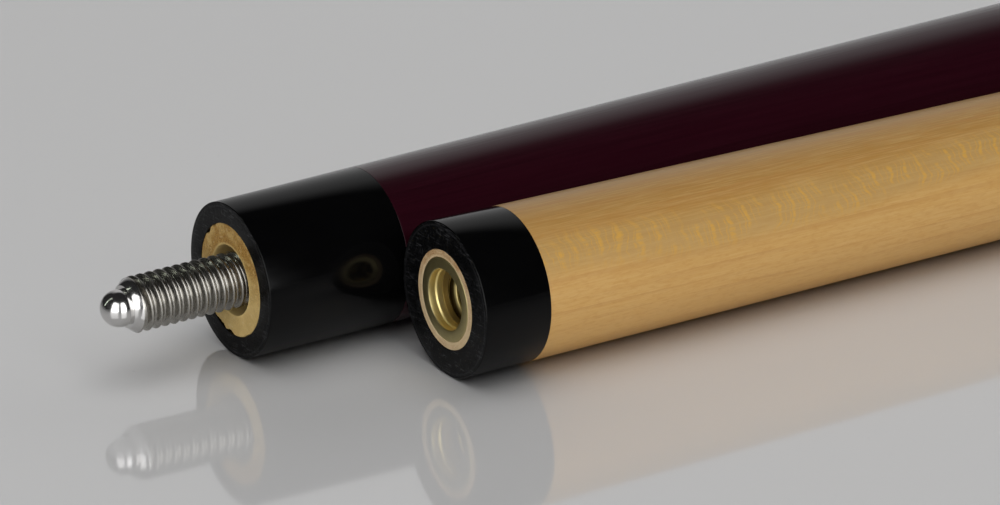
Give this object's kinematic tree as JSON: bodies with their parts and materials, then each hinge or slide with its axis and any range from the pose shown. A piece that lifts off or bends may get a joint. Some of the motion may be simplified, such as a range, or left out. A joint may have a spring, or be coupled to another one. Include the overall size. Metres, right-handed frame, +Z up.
{
  "type": "two-piece pool cue",
  "caption": "Two-piece pool cue laid down unscrewed, with a threaded steel joint pin on the dark tapered butt and a brass-lined socket in the maple shaft.",
  "frame": {"origin": "centre of the lying cue's footprint, on the floor it lies on", "axes": "+X from the joint ends towards the tip and the butt end, along both halves; +Y from the shaft half to the butt half; +Z up"},
  "size_m": [0.7776, 0.0492, 0.0312],
  "materials": {
    "polished_steel": "polished, fine turning marks",
    "black_collar": "gloss sides, satin turned faces",
    "stained_maple": "dark burgundy stain under clear gloss lacquer; bare where turned down for the collar",
    "black_trim": "gloss",
    "plain_steel": "machined",
    "bare_maple": "bare, unseen",
    "linen_wrap": "pressed and waxed linen cord",
    "pale_trim": "gloss",
    "bumper_rubber": "matt",
    "insert_brass": "turned, satin",
    "shaft_maple": "satin sealed maple with curly figure",
    "ferrule_white": "satin",
    "pad_fibre": "matt",
    "tip_leather": "pressed leather, chalked"
  },
  "bodies": {
    "butt_half": {"joint_pin": "polished_steel", "butt_joint_collar": "black_collar", "forearm": "stained_maple", "forearm_ring": "black_trim", "a_joint_screw": "plain_steel", "handle_core": "bare_maple", "grip_wrap": "linen_wrap", "handle_ring": "black_trim", "butt_sleeve": "stained_maple", "butt_cap_ring": "pale_trim", "butt_cap": "black_collar", "bumper": "bumper_rubber", "bumper_washer": "plain_steel", "bumper_screw": "plain_steel"},
    "sliding_weight": {"weight_bolt": "plain_steel"},
    "swinging_tip": {"ferrule": "ferrule_white", "tip_pad": "pad_fibre", "tip": "tip_leather"},
    "shaft_half": {"shaft_joint_collar": "black_collar", "shaft_insert": "insert_brass", "shaft": "shaft_maple"}
  },
  "joints": [
    {"name": "joint_travel", "type": "slide", "parent": "butt_half", "child": "sliding_weight", "axis": [1, 0, 0.0063], "range_m": [0, 0.02225]},
    {"name": "shaft_swing", "type": "hinge", "parent": "sliding_weight", "child": "swinging_tip", "pos_m": [-0.36959, -0.0023, 0.01093], "axis": [0, -0.0062, -1], "range_deg": [0, 180]},
    {"name": "joint_screw", "type": "hinge", "parent": "swinging_tip", "child": "shaft_half", "pos_m": [-0.34815, -0.0136, 0.011], "axis": [-1, 0, 0.0063], "range_deg": [0, 5677.21]}
  ],
  "couplings": [
    {"joint": "joint_screw", "follows": "joint_travel", "rad_per_m": 4452.7}
  ]
}
